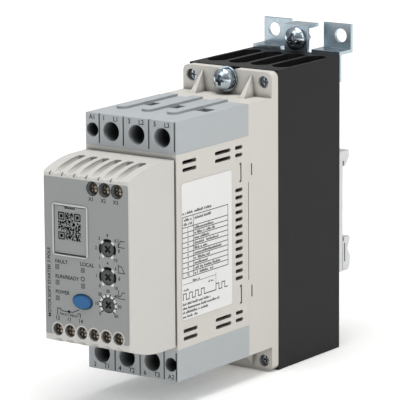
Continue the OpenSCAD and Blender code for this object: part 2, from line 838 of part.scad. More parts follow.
module bypass_relays() color("#3a4a63") for (i = [-1:1])
    slab(part_x - relay_w, part_x, f_ledge, f_ledge + relay_d,
        i * relay_pitch - relay_h / 2, i * relay_pitch + relay_h / 2);

module current_transformers() color("#2b2b2d") both_ends() difference() {
    peg(coil_r - part_x, hook_z, f_ledge, f_ledge + coil_h, coil_r);
    peg(coil_r - part_x, hook_z, f_ledge - 1, f_ledge + coil_h + 1, coil_hole);
}

module supply_transformer() color("#c9a54a")
    slab(-part_x, choke_w - part_x, f_ledge, f_ledge + choke_h, choke_z[0], choke_z[1]);

module supply_capacitors() color("#27324a") for (i = [0:1])
    peg(can_r - part_x, can_z + i * (2 * can_r + can_space), f_ledge, f_ledge + can_h, can_r);

// Fasteners of the frame and the earth terminal
earth_head = 4.6;
earth_h = 3.8;
earth_cap = 2.2;
earth_recess = 4.4;
washer_r = [5.4, 4.3];
washer_t = [1, 1.2];
f_washer = f_flange + washer_t[0] + washer_t[1];
corner_recess = 3;
f_corner = f_sink + recess_floor + 1.6;

module frame_screws() color("#4b4d50") for (x = [-1, 1]) for (z = [-1, 1]) difference() {
    union() {
        peg(x * corner_at[0], z * corner_at[1], f_sink + recess_floor, f_corner, recess_r - move_gap);
        peg(x * corner_at[0], z * corner_at[1], f_sink - screw_reach, f_sink + 2, frame_shank);
    }
    cross_recess(x * corner_at[0], z * corner_at[1], f_corner, corner_recess, 1);
}

module earth_washers() color("#c3c7ca") difference() {
    union() {
        peg(0, earth_z, f_flange, f_flange + washer_t[0], washer_r[0]);
        peg(0, earth_z, f_flange + washer_t[0], f_washer, washer_r[1]);
    }
    peg(0, earth_z, f_flange - 1, f_washer + 1, earth_r + seat_gap);
}

module earth_screw() color("#c3c7ca") difference() {
    union() {
        pan_head(0, earth_z, f_washer, f_washer + earth_h, earth_head, earth_cap);
        peg(0, earth_z, f_sink - screw_reach, f_washer + 0.5, earth_r);
    }
    star_recess(0, earth_z, f_washer + earth_h, earth_recess, earth_cap);
}

// Mounting bracket
tab_hw = 6;
tab_top = sz + 11.7;
tab_back = 9;
tie_z = sz + 5.6;
tie_head = 5;
tie_r = 2.5;
tie_h = 3.6;
tie_cap = 2.4;
tie_recess = 5.2;
nut_r = 4.4;
nut_h = 4;
plate_drop = 11.6;
ear_in = 0.5;
fix_head = 3.2;
fix_slot = 0.8;

module mounting_bracket() color("#b9c4cc") difference() {
    union() {
        slab(-bracket_hw, bracket_hw, clip_t - sheet_t, clip_t, sz - plate_drop, sz);
        slab(-tab_hw, tab_hw, clip_t - sheet_t, clip_t, sz - 1, tab_top);
        slab(-tab_hw, tab_hw, clip_t - tab_back, clip_t, tab_top - sheet_t, tab_top);
        both_sides() {
            slab(foot_x, bracket_hw, -rail_depth, clip_t, sz, sz + sheet_t);
            slab(foot_x, bracket_hw, clip_t - sheet_t, clip_t, sz - 1, sz + sheet_t);
            slab(foot_x + ear_in, bracket_hw, -rail_depth, sheet_t - rail_depth, sz, ear_top);
        }
    }
    for (x = [-1, 1]) {
        peg(x * bracket_pitch / 2, ear_z, -rail_depth - 1, sheet_t - rail_depth + 1, bracket_hole / 2);
        cone(x * fix_at[0], fix_at[1], clip_t - sheet_t, clip_t, fix_head + seat_gap,
            fix_shank + seat_gap);
    }
    peg(0, tie_z, clip_t - sheet_t - 1, clip_t + 1, tie_r + seat_gap);
}

module bracket_screw() color("#c3c7ca") difference() {
    union() {
        pan_head(0, tie_z, clip_t, clip_t + tie_h, tie_head, tie_cap);
        peg(0, tie_z, clip_t - sheet_t - nut_h - 1, clip_t + 0.5, tie_r);
    }
    star_recess(0, tie_z, clip_t + tie_h, tie_recess, tie_cap);
}

module bracket_nut() color("#c3c7ca") difference() {
    translate([0, sheet_t - clip_t, tie_z]) rotate([-90, 0, 0]) cylinder(r = nut_r, h = nut_h, $fn = 6);
    peg(0, tie_z, clip_t - sheet_t - nut_h - 1, clip_t, tie_r + seat_gap);
}

module bracket_fixing_screws() color("#4b4d50") for (x = [-1, 1]) difference() {
    union() {
        cone(x * fix_at[0], fix_at[1], clip_t - sheet_t, clip_t, fix_head, fix_shank);
        peg(x * fix_at[0], fix_at[1], clip_t - 0.5, clip_t + thread_in, fix_shank);
    }
    slab(x * fix_at[0] - 1.5, x * fix_at[0] + 1.5, 0, clip_t - sheet_t + 0.8,
        fix_at[1] - fix_slot / 2, fix_at[1] + fix_slot / 2);
}

// Rail clip and its sprung latch
hook_reach = 5;
hook_tip = 2.2;
rail_edge = rail_w / 2 + rail_clear;
tongue_w = 3;
tongue_z = -24;
tongue_h = 4;
tongue_head = 6;
f_pocket = 1.5;
lug_hw = 1.6;
lug_h = 2;
csk_r = 2.8;
f_csk0 = 0.3;
f_csk1 = 1.7;
nose_h = 1.7;
hook_h1 = 3;
hook_bite = 2.1;
latch_grip = [[-4, -21.5], [-6, -25], [-6, -28.5], [-4.5, clip_bot], [-1.5, clip_bot]];

// Upright slot that leaves the latch its travel
module latch_slot(x, half, f0)
    slab(x - half, x + half, f0, clip_t + 1, tongue_z - latch_travel - move_gap,
        tongue_z + tongue_h + move_gap);

module rail_clip() color("#d9d6cf") difference() {
    union() {
        slab(-clip_hw, clip_hw, 0, clip_t, clip_bot, clip_top);
        side_run(-clip_hw, clip_hw)
            polygon([[eps, clip_top], [-hook_reach, clip_top], [-hook_reach, clip_top - hook_h1],
                [-hook_tip, rail_w / 2 - hook_bite], [-lip_gap, rail_w / 2 - hook_bite],
                [-lip_gap, rail_edge],
                [eps, rail_edge]]);
    }
    for (x = [-1, 1]) {
        cone(x * clip_screw_at[0], clip_screw_at[1], f_csk0, f_csk1, csk_r + seat_gap,
            clip_shank + seat_gap);
        peg(x * clip_screw_at[0], clip_screw_at[1], -1, f_csk0, csk_r + seat_gap);
        peg(x * clip_screw_at[0], clip_screw_at[1], 1, clip_t + 1, clip_shank + seat_gap);
        latch_slot(x * tongue_x, tongue_w / 2 + move_gap, -1);
        latch_slot(x * tongue_x, tongue_head / 2 + move_gap, f_pocket);
    }
    slab(-lug_hw - move_gap, lug_hw + move_gap, -1, clip_t + 1, spring_foot,
        latch_lug + lug_h + move_gap);
}

module clip_screws() color("#4b4d50") for (x = [-1, 1]) difference() {
    union() {
        cone(x * clip_screw_at[0], clip_screw_at[1], f_csk0, f_csk1, csk_r, clip_shank);
        peg(x * clip_screw_at[0], clip_screw_at[1], 1, clip_t + thread_in, clip_shank);
    }
    slab(x * clip_screw_at[0] - 2, x * clip_screw_at[0] + 2, 0, 0.9,
        clip_screw_at[1] - fix_slot / 2, clip_screw_at[1] + fix_slot / 2);
}

module rail_latch() color("#d9d6cf") {
    difference() {
        side_run(-clip_hw, clip_hw)
            polygon(concat([[-move_gap, -rail_edge], [-lip_gap, -rail_edge],
                [-lip_gap, nose_h - rail_edge], [-5, nose_h - rail_edge],
                [-6, nose_h - rail_edge - 1]], latch_grip, [[-move_gap, clip_bot + 1.2]]));
        slab(-clip_hw - 1, clip_hw + 1, -2.2, -lip_gap, -26.9, -rail_edge - 1);
    }
    for (x = [-1, 1]) {
        slab(x * tongue_x - tongue_w / 2, x * tongue_x + tongue_w / 2, -0.8, f_pocket + 1,
            tongue_z, tongue_z + tongue_h);
        slab(x * tongue_x - tongue_head / 2, x * tongue_x + tongue_head / 2, f_pocket + move_gap,
            clip_t - move_gap, tongue_z, tongue_z + tongue_h);
    }
    slab(-lug_hw, lug_hw, -0.8, clip_t - 2 * move_gap, latch_lug, latch_lug + lug_h);
}

coil_turns = 7;
coil_steps = 14;
coil_sides = 6;
coil_n = coil_turns * coil_steps;
coil_run = latch_lug - spring_foot - 2 * spring_wire;

function coil_point(i, k) =
    let (a = 360 * i / coil_steps, b = 360 * k / coil_sides, r = spring_r + spring_wire * cos(b))
    [r * cos(a), r * sin(a) - clip_t / 2,
        spring_foot + spring_wire + coil_run * i / coil_n + spring_wire * sin(b)];

module latch_spring() color("#b9bcc0") polyhedron(
    points = [for (i = [0:coil_n]) for (k = [0:coil_sides - 1]) coil_point(i, k)],
    faces = concat([[for (k = [coil_sides - 1:-1:0]) k]],
        [for (i = [0:coil_n - 1]) for (k = [0:coil_sides - 1])
            [i * coil_sides + k, i * coil_sides + (k + 1) % coil_sides, (i + 1) * coil_sides + k]],
        [for (i = [0:coil_n - 1]) for (k = [0:coil_sides - 1])
            [i * coil_sides + (k + 1) % coil_sides, (i + 1) * coil_sides + (k + 1) % coil_sides,
            (i + 1) * coil_sides + k]],
        [[for (k = [0:coil_sides - 1]) coil_n * coil_sides + k]]));

// Label on the right side
label_t = 0.15;
label_r = 1.5;
label_f = [f_base + 12.6, f_body - 3.2];
label_z = [11.7 - hz, hz - 12.2];

module side_label() color("#f1f1ee") side_run(hw, hw + label_t)
    round_rect(label_f[0], label_z[0], label_f[1], label_z[1], label_r);

heatsink();
base_frame();
main_housing();
upper_terminal_block();
lower_terminal_block();
control_head();
faceplate();
flap_frame();
service_flap();
service_port();
reset_button();
tact_switch();
upper_dial();
middle_dial();
lower_dial();
rotary_switches();
light_pipes();
upper_signal_clamps();
upper_signal_screws();
lower_signal_clamps();
lower_signal_screws();
line_clamps();
line_screws();
load_clamps();
load_screws();
line_busbars();
load_busbars();
control_board();
link_board();
power_board();
thyristor_modules();
bypass_relays();
current_transformers();
supply_transformer();
supply_capacitors();
frame_screws();
earth_washers();
earth_screw();
mounting_bracket();
bracket_screw();
bracket_nut();
bracket_fixing_screws();
rail_clip();
clip_screws();
rail_latch();
latch_spring();
side_label();
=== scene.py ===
import bpy
import json
import math
import numpy as np
from mathutils import Matrix, Vector


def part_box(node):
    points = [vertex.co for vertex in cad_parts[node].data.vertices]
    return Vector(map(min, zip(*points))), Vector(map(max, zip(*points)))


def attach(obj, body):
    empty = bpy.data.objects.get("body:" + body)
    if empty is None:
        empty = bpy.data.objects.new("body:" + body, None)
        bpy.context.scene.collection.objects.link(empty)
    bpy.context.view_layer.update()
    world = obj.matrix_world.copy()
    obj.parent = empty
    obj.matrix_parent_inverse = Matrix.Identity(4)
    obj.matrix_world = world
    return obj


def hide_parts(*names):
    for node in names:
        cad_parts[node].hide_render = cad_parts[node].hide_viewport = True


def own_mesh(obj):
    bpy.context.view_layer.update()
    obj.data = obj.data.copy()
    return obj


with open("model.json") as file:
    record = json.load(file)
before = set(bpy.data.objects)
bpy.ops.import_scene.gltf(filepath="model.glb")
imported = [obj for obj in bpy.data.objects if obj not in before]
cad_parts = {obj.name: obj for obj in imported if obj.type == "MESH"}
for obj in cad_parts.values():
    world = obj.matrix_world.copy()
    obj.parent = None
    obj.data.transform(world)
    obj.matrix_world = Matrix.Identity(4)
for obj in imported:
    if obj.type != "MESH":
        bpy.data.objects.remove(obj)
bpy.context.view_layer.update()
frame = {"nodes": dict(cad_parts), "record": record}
nodes = frame["nodes"]
mm = 0.001
print("frame loaded,", len(nodes), "nodes")


# sRGB hex to linear colour: a straight line near black, a power of 2.4 above it
def toLinear(hexText):
    srgb = np.array([int(hexText[i:i + 2], 16) for i in (1, 3, 5)]) / 255
    linear = np.where(srgb <= 0.04045, srgb / 12.92, ((srgb + 0.055) / 1.055) ** 2.4)
    return (*linear.tolist(), 1.0)


# a socket is linked, anything else is set on the input; i0, i1 ... name an input by its number
def addNode(tree, kind, props=None, **inputs):
    made = tree.nodes.new(kind)
    for key, value in (props or {}).items():
        setattr(made, key, value)
    for key, value in inputs.items():
        numbered = key[0] == "i" and key[1:].isdigit()
        socket = made.inputs[int(key[1:])] if numbered else made.inputs[key.replace("_", " ")]
        if isinstance(value, bpy.types.NodeSocket):
            tree.links.new(value, socket)
        else:
            socket.default_value = value
    return made


# what every finish starts from; level brings cloud and grain together back to a middle of one half; the
# hollow settings give the strength, reach and span of the painted shade in hollows
recipe = {"ior": 1.5, "metal": 0.0, "coat": 0.0, "shine": 0.5, "stretch": (1, 1, 1), "vary": 0.06,
          "edgeMm": 0.3, "edgeRays": 4, "bumpMm": 0.05, "paintedShadeStrength": 0.45, "paintedShadeMm": 5, "paintedShadeOver": (0.3, 0.95),
          "paintedShadeRays": 8, "cloudMm": 14, "cloudDetail": 3.0, "grainDetail": 2.0, "grainShare": 0.35,
          "level": 0.74, "grainSpan": (0.3, 0.7)}


# cloudy tone with fine grain in it, grain bump on rounded edges, and painted shade that darkens the colour
# in hollows
def surface(own):
    look = recipe | own
    mat = bpy.data.materials.new(look["name"])
    mat.use_nodes = True
    tree = mat.node_tree
    tree.nodes.clear()
    place = addNode(tree, "ShaderNodeTexCoord").outputs["Object"]
    along = addNode(tree, "ShaderNodeVectorMath", {"operation": "MULTIPLY"}, i0=place,
                    i1=look["stretch"]).outputs[0]
    cloud = addNode(tree, "ShaderNodeTexNoise", Vector=place, Scale=1 / (look["cloudMm"] * mm),
                    Detail=look["cloudDetail"]).outputs["Fac"]
    grain = addNode(tree, "ShaderNodeTexNoise", Vector=along, Scale=1 / (look["grainMm"] * mm),
                    Detail=look["grainDetail"]).outputs["Fac"]
    tone = addNode(tree, "ShaderNodeMath", {"operation": "MULTIPLY_ADD"}, i0=grain,
                   i1=look["grainShare"], i2=cloud).outputs[0]
    tone = addNode(tree, "ShaderNodeMath", {"operation": "MULTIPLY"}, i0=tone,
                   i1=look["level"]).outputs[0]
    base = np.array(toLinear(look["hex"])[:3])
    deep = (*(base * (1 - look["drift"])).tolist(), 1)
    pale = (*np.minimum(base * (1 + look["drift"]), 1).tolist(), 1)
    colour = addNode(tree, "ShaderNodeMix", {"data_type": "RGBA"}, i0=tone, i6=deep, i7=pale).outputs[2]
    # painted shade: ambient occlusion darkens the colour in hollows and corners
    hollow = addNode(tree, "ShaderNodeAmbientOcclusion", {"samples": look["paintedShadeRays"]},
                     Distance=look["paintedShadeMm"] * mm).outputs["AO"]
    dim, clear = look["paintedShadeOver"]
    paintedShadeFactor = addNode(tree, "ShaderNodeMapRange", Value=hollow, i1=dim, i2=clear, i3=1 - look["paintedShadeStrength"],
                    i4=1.0).outputs[0]
    colour = addNode(tree, "ShaderNodeMix", {"data_type": "RGBA", "blend_type": "MULTIPLY"}, i0=1.0,
                     i6=colour, i7=paintedShadeFactor).outputs[2]
    fine, coarse = look["grainSpan"]
    rough = addNode(tree, "ShaderNodeMapRange", Value=grain, i1=fine, i2=coarse,
                    i3=look["rough"] - look["vary"], i4=look["rough"] + look["vary"]).outputs[0]
    edge = addNode(tree, "ShaderNodeBevel", {"samples": look["edgeRays"]},
                   Radius=look["edgeMm"] * mm).outputs[0]
    bump = addNode(tree, "ShaderNodeBump", Height=grain, Strength=look["bump"],
                   Distance=look["bumpMm"] * mm, Normal=edge).outputs[0]
    shader = addNode(tree, "ShaderNodeBsdfPrincipled", Base_Color=colour, Roughness=rough, Normal=bump,
                     Metallic=look["metal"], IOR=look["ior"], Coat_Weight=look["coat"],
                     Specular_IOR_Level=look["shine"])
    addNode(tree, "ShaderNodeOutputMaterial", Surface=shader.outputs[0])
    return mat


# erosion grain and plating crystals are nearer 0.1 mm and are drawn coarser so that they show
looks = {
    # ABS moulded in a spark-eroded tool: even matt grain, broad soft highlights, vents darkened by painted
    # shade
    "housing_plastic": {"name": "abs_offwhite", "hex": "#c9c6c0", "ior": 1.54, "rough": 0.5,
                        "grainMm": 0.35, "bump": 0.25, "drift": 0.015, "paintedShadeStrength": 0.8, "paintedShadeMm": 3},
    # the same moulding compound a shade greyer
    "head_plastic": {"name": "abs_palegrey", "hex": "#c5c3be", "ior": 1.54, "rough": 0.48,
                     "grainMm": 0.35, "bump": 0.25, "drift": 0.015, "paintedShadeStrength": 0.6},
    # glass-filled polyamide: slightly cloudy tone, and painted shade that turns deep holes black
    "terminal_plastic": {"name": "polyamide_bluegrey", "hex": "#a9aeb1", "ior": 1.53, "rough": 0.5,
                         "grainMm": 0.35, "bump": 0.25, "drift": 0.02, "paintedShadeStrength": 0.92, "paintedShadeMm": 9,
                         "paintedShadeOver": (0.16, 0.62), "edgeMm": 0.4},
    # back-printed polyester film: flat, satin, crisp at the edge
    "plate_film": {"name": "polyester_film", "hex": "#8d908f", "ior": 1.6, "rough": 0.55,
                   "grainMm": 0.25, "bump": 0.12, "drift": 0.015, "edgeMm": 0.12},
    # smooth-moulded ABS: a clear light rim round the flap
    "frame_plastic": {"name": "abs_lightgrey", "hex": "#bcbebc", "ior": 1.54, "rough": 0.45,
                      "grainMm": 0.3, "bump": 0.15, "drift": 0.02, "edgeMm": 0.25},
    # extruded aluminium, black anodised: faint die lines along the length, hardly any gloss
    "black_anodised": {"name": "anodised_aluminium", "hex": "#1d1d1e", "rough": 0.46, "grainMm": 0.25,
                       "bump": 0.3, "drift": 0.12, "shine": 0.14, "stretch": (1, 1, 0.02),
                       "edgeMm": 0.25},
    # pressed sheet, bright zinc plate: cool, softly mirrored
    "zinc_sheet": {"name": "zinc_plated_sheet", "hex": "#bac9d2", "rough": 0.31, "vary": 0.04,
                   "grainMm": 1.6, "bump": 0.02, "drift": 0.03, "metal": 1.0, "paintedShadeStrength": 0.15},
    # turned steel, blue-bright zinc plate: sharp reflections, darkened down in a recess by painted shade
    "screw_steel": {"name": "zinc_plated_steel", "hex": "#d0dde7", "rough": 0.2, "vary": 0.03,
                    "grainMm": 0.9, "bump": 0.02, "drift": 0.04, "metal": 1.0, "paintedShadeStrength": 0.8, "paintedShadeMm": 10,
                    "paintedShadeOver": (0.0, 0.8)},
    # blackened steel: dull and nearly neutral
    "dark_screw": {"name": "blackened_steel", "hex": "#4a4b4d", "rough": 0.4, "grainMm": 0.4,
                   "bump": 0.2, "drift": 0.1, "metal": 1.0},
    # nickel over brass, gone dull: warm grey, darkened to brown in the slots by painted shade
    "signal_screw": {"name": "nickel_plated_brass", "hex": "#bdb2a3", "rough": 0.3, "grainMm": 0.4,
                     "bump": 0.2, "drift": 0.12, "metal": 1.0, "edgeMm": 0.5, "paintedShadeStrength": 0.8, "paintedShadeMm": 3},
    # stamped steel with nickel plate: pale satin
    "clamp_steel": {"name": "nickel_plated_steel", "hex": "#b9bcc0", "rough": 0.35, "grainMm": 0.4,
                    "bump": 0.2, "drift": 0.08, "metal": 1.0},
    # bare rolled copper: warm satin
    "copper": {"name": "bare_copper", "hex": "#b8734a", "rough": 0.35, "grainMm": 0.4, "bump": 0.2,
               "drift": 0.1, "metal": 1.0},
    # moulded polyamide, dark grey: satin knob
    "dial_plastic": {"name": "polyamide_darkgrey", "hex": "#3d3e3f", "ior": 1.53, "rough": 0.45,
                     "grainMm": 0.25, "bump": 0.2, "drift": 0.04, "edgeMm": 0.2},
    # moulded polyamide, black: satin
    "black_plastic": {"name": "polyamide_black", "hex": "#232325", "ior": 1.53, "rough": 0.5,
                      "grainMm": 0.3, "bump": 0.2, "drift": 0.05},
    # moulded polycarbonate, blue: semi-gloss with a well rounded rim
    "button_plastic": {"name": "polycarbonate_blue", "hex": "#155a90", "ior": 1.58, "rough": 0.34,
                       "grainMm": 0.3, "bump": 0.1, "drift": 0.03, "shine": 0.3, "edgeMm": 0.9},
    # smoked acrylic light pipe, unlit: dark grey under a clear skin
    "lamp_plastic": {"name": "acrylic_smoked", "hex": "#5b5d5a", "ior": 1.49, "rough": 0.3,
                     "grainMm": 0.3, "bump": 0.1, "drift": 0.05, "coat": 0.3},
    # epoxy laminate under green solder mask: smooth, half gloss
    "board": {"name": "solder_mask_green", "hex": "#2f6b45", "ior": 1.55, "rough": 0.4, "grainMm": 0.5,
              "bump": 0.1, "drift": 0.06},
    # moulded polyester relay case: smooth, half gloss
    "relay_plastic": {"name": "polyester_case", "hex": "#384a63", "ior": 1.57, "rough": 0.35,
                      "grainMm": 0.4, "bump": 0.1, "drift": 0.04},
    # lacquered copper winding: golden under a clear coat
    "winding": {"name": "lacquered_winding", "hex": "#c9a54a", "rough": 0.4, "grainMm": 0.3,
                "bump": 0.3, "drift": 0.1, "metal": 1.0, "coat": 0.3},
    # shrunk vinyl sleeve of a capacitor: smooth, half gloss
    "capacitor": {"name": "vinyl_sleeve", "hex": "#27324a", "ior": 1.53, "rough": 0.35, "grainMm": 0.4,
                  "bump": 0.1, "drift": 0.04},
    # natural polyamide of the rail clip: cool white, matt
    "clip_plastic": {"name": "polyamide_white", "hex": "#d4d6d6", "ior": 1.53, "rough": 0.5,
                     "grainMm": 0.35, "bump": 0.25, "drift": 0.015},
    # matt white vinyl label: flat and even
    "label_stock": {"name": "vinyl_label", "hex": "#dedede", "ior": 1.53, "rough": 0.42,
                    "grainMm": 0.2, "bump": 0.05, "drift": 0.008, "edgeMm": 0.05},
}
materials = {slot: surface(look) for slot, look in looks.items()}
for part in frame["record"]["subparts"]:
    data = nodes[part["node"]].data
    data.materials.clear()
    data.materials.append(materials[part["material_slot"]])
print("materials on the frame:", len(materials))

# screen-printed ink: a thin matt layer, a little uneven
ink = {"rough": 0.58, "grainMm": 0.15, "bump": 0.05, "drift": 0.06, "edgeMm": 0.02, "shine": 0.06}
inkDark = surface(ink | {"name": "ink_dark", "hex": "#232528"})
inkBlack = surface(ink | {"name": "ink_black", "hex": "#0c0c0d"})
inkWhite = surface(ink | {"name": "ink_white", "hex": "#d6d7d5"})


# a print is a flat sheet of faces, drawn in millimetres on one face of the part
def newPrint():
    return {"points": np.empty((0, 2)), "faces": []}


# the new faces count on from the points that are already there
def addFaces(target, points, faces):
    first = len(target["points"])
    target["points"] = np.vstack([target["points"], points])
    target["faces"] += [[first + i for i in face] for face in faces]


# every four points in a row are one face, anticlockwise
def addQuads(target, quads):
    points = np.reshape(quads, (-1, 2))
    addFaces(target, points, np.arange(len(points)).reshape(-1, 4).tolist())


# upright rectangles between lower left and upper right corners, one or a whole array of them
def addRects(target, x0, y0, x1, y1):
    x0, y0, x1, y1 = np.broadcast_arrays(*np.atleast_1d(x0, y0, x1, y1))
    addQuads(target, np.stack([x0, y0, x1, y0, x1, y1, x0, y1], axis=-1))


# each step of the path becomes a bar of the stroke's width, half a width longer at both ends
def addLine(target, path, width):
    path = np.array(path, float)
    along = np.diff(path, axis=0)
    along *= width / 2 / np.linalg.norm(along, axis=1, keepdims=True)
    side = along[:, ::-1] * (-1, 1)
    start, end = path[:-1] - along, path[1:] + along
    addQuads(target, np.stack([start - side, end - side, end + side, start + side], axis=1))


# part of a flat ring: sine and cosine of even angles, clockwise from straight up, at two radii
def addArc(target, centre, r0, r1, a0, a1, steps=10):
    angle = np.radians(np.linspace(a0, a1, steps + 1))
    rim = np.stack([np.sin(angle), np.cos(angle)], axis=1)
    inner, outer = centre + r0 * rim, centre + r1 * rim
    addQuads(target, np.stack([inner[:-1], inner[1:], outer[1:], outer[:-1]], axis=1))


# one face with its corners at even angles on a circle
def addDisc(target, centre, r, sides=20):
    angle = np.linspace(0, 2 * np.pi, sides, endpoint=False)
    addFaces(target, centre + r * np.stack([np.cos(angle), np.sin(angle)], axis=1), [range(sides)])


# letters a little bolder than the font's own; a width squeezes or widens the words to fit
def addText(target, words, x, y, height, align="CENTER", width=None, upright=False):
    capShare, bolder = 0.7, 0.016
    curve = bpy.data.curves.new("words", "FONT")
    curve.body = words
    curve.size = height / capShare
    curve.offset = bolder * curve.size
    curve.align_x = align
    curve.align_y = "CENTER"
    holder = bpy.data.objects.new("words", curve)
    bpy.context.scene.collection.objects.link(holder)
    bpy.context.view_layer.update()
    flat = bpy.data.meshes.new_from_object(holder.evaluated_get(bpy.context.evaluated_depsgraph_get()))
    points = np.empty(len(flat.vertices) * 3)
    flat.vertices.foreach_get("co", points)
    points = points.reshape(-1, 3)[:, :2]
    if width:
        points[:, 0] *= width / np.ptp(points[:, 0])
    if upright:
        points = points[:, ::-1] * (-1, 1)
    addFaces(target, points + (x, y), [list(p.vertices) for p in flat.polygons])
    bpy.data.objects.remove(holder)
    bpy.data.curves.remove(curve)
    bpy.data.meshes.remove(flat)


# repeatable scatter: the fraction of a large sine
def scatter(value):
    return np.modf(np.abs(np.sin(value)) * 43758.5453)[0]


# strokes that read as small print but spell nothing: two uprights and often a bar to a letter;
# the scatter of the letter's number decides on gaps, tall letters and bars
fillerSet = {"step": 0.62, "gap": 0.55, "stroke": 0.19, "second": 0.27, "bar": 0.17, "barFrom": 0.12,
             "barTo": 0.4, "end": 0.4, "gapChance": 0.16, "tallChance": 0.66, "low": 0.62,
             "shortChance": 0.5, "short": 0.7, "barChance": 0.36, "highBar": 0.7, "barUp": 0.78}


def addFiller(target, x0, x1, y, height, seed):
    own = fillerSet
    letter = np.arange(int((x1 - x0) / own["gap"]) + 1)
    chance = scatter((letter + 1) * 12.9898 + seed * 78.233)
    blank = (chance < own["gapChance"]) & (letter % 7 > 1)
    pace = np.where(blank, own["gap"], own["step"])
    x = x0 + np.cumsum(pace) - pace
    keep = ~blank & (x < x1 - own["end"])
    x, chance = x[keep], chance[keep]
    tall = height * np.where(chance < own["tallChance"], own["low"], 1.0)
    addRects(target, x, y, x + own["stroke"], y + tall)
    second = x + own["second"]
    addRects(target, second, y, second + own["stroke"],
             y + tall * np.where(chance > own["shortChance"], own["short"], 1.0))
    barred = chance > own["barChance"]
    foot = y + tall[barred] * np.where(chance[barred] > own["highBar"], own["barUp"], 0.0)
    addRects(target, x[barred] + own["barFrom"], foot, x[barred] + own["barTo"], foot + own["bar"])


# the print lies just proud of the face that is square to the axis at this level
def placePrint(name, target, mat, body, axis, level):
    mesh = bpy.data.meshes.new(name)
    points = np.insert(target["points"], axis, level, axis=1) * mm
    mesh.from_pydata(points.tolist(), [], target["faces"])
    mesh.materials.append(mat)
    mesh.update()
    made = bpy.data.objects.new(name, mesh)
    bpy.context.scene.collection.objects.link(made)
    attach(made, body)


# lowest and highest corner of a node in millimetres
def corners(node):
    return [np.array(corner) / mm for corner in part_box(node)]


lift = 0.03
plateFace = corners("faceplate")[0][1] - lift

# dial scales: black and white ring segments, numbers round them and a small graph beside each dial
dialSet = {"ringIn": 3.27, "ringOut": 4.25, "whiteOut": 4.25, "tickOut": 4.6, "numberR": 5.65,
           "numberH": 1.3, "sweep": 135, "blackAt": (-90, 0, 90), "blackHalf": 29,
           "whiteAt": (-142, -43, 43, 142), "whiteHalf": 10, "tickStep": 30, "tickHalf": 3,
           "scales": (("1", "2", "3", "4", "6", "8", "10"), ("0", "1", "2", "4", "6", "8", "10"),
                      ("0", "10", "20", "30", "40", "50", "60")),
           "graphX": 5.3, "graphUp": (1.5, 2.5, 3.4), "axisW": 3.1, "axisH": 3.2, "line": 0.3,
           "runs": (((0, 0), (1.1, 2.6), (3.1, 2.6)), ((0.2, 2.6), (1.6, 2.6), (3.0, 0)),
                    ((0, 1), (0.9, 1), (1.9, 2.6), (3.1, 2.6)))}
dark, black, white = newPrint(), newPrint(), newPrint()
ringIn, half = dialSet["ringIn"], dialSet["whiteHalf"]
for k, node in enumerate(("upper_dial", "middle_dial", "lower_dial")):
    x, _, z = sum(corners(node)) / 2
    centre = np.array((x, z))
    if node != "lower_dial":
        for mid in dialSet["blackAt"]:
            addArc(black, centre, ringIn, dialSet["ringOut"], mid - dialSet["blackHalf"],
                   mid + dialSet["blackHalf"])
        for mid in dialSet["whiteAt"]:
            addArc(white, centre, ringIn, dialSet["whiteOut"], mid - half, mid + half, 4)
    else:
        ticks = np.arange(-dialSet["sweep"], dialSet["sweep"] + 1, dialSet["tickStep"])
        for mid in (ticks[:-1] + ticks[1:]) / 2:
            addArc(white, centre, ringIn, dialSet["ringOut"], mid - half, mid + half, 4)
        for mid in ticks:
            addArc(black, centre, ringIn, dialSet["tickOut"], mid - dialSet["tickHalf"],
                   mid + dialSet["tickHalf"], 1)
    scale = dialSet["scales"][k]
    angles = np.radians(np.linspace(-dialSet["sweep"], dialSet["sweep"], len(scale)))
    for number, angle in zip(scale, angles):
        spot = centre + dialSet["numberR"] * np.array((math.sin(angle), math.cos(angle)))
        addText(dark, number, *spot, dialSet["numberH"])
    foot = centre + (dialSet["graphX"], dialSet["graphUp"][k])
    addLine(dark, foot + ((0, dialSet["axisH"]), (0, 0), (dialSet["axisW"], 0)), dialSet["line"])
    addLine(dark, foot + dialSet["runs"][k], dialSet["line"])

# words of the faceplate, the ring by the lower lamps, and for each signal screw a name and a black ring,
# which is painted shade of the hole's wall
plateSet = {"wordH": 1.5, "words": (("FAULT", -15.7, -1.9, 6.2), ("RUN/READY", -15.7, -8.1, 11.8),
                                    ("POWER", -15.7, -14.5, 7.0), ("LOCAL", -3.2, -1.7, 7.0)),
            "title": ("MOTOR SOFT STARTER 3 POLE", -18.7, -11.0, 1.45, 28.5),
            "shadeRingIn": 2.56, "shadeRingOut": 2.9, "clampDrop": 4.4, "clampShift": -0.6,
            "ringAt": (-1.9, -7.7), "ringR": (0.7, 1.02)}
for words, x, z, width in plateSet["words"]:
    addText(dark, words, x, z, plateSet["wordH"], "LEFT", width)
words, x, z, height, width = plateSet["title"]
addText(dark, words, x, z, height, "CENTER", width, True)
addArc(dark, plateSet["ringAt"], *plateSet["ringR"], 0, 360, 28)
low, high = corners("upper_signal_screws")
screwR, screwZ = (high[2] - low[2]) / 2, (high[2] + low[2]) / 2
nameZ = screwZ - plateSet["clampDrop"]
for i, x in enumerate(np.linspace(low[0] + screwR, high[0] - screwR, 3)):
    # black ring round the hole: painted shade where the hole's wall falls dark
    addArc(black, (x, screwZ), plateSet["shadeRingIn"], plateSet["shadeRingOut"], 0, 360, 40)
    addText(dark, "X" + str(i + 1), x + plateSet["clampShift"], nameZ, plateSet["wordH"])

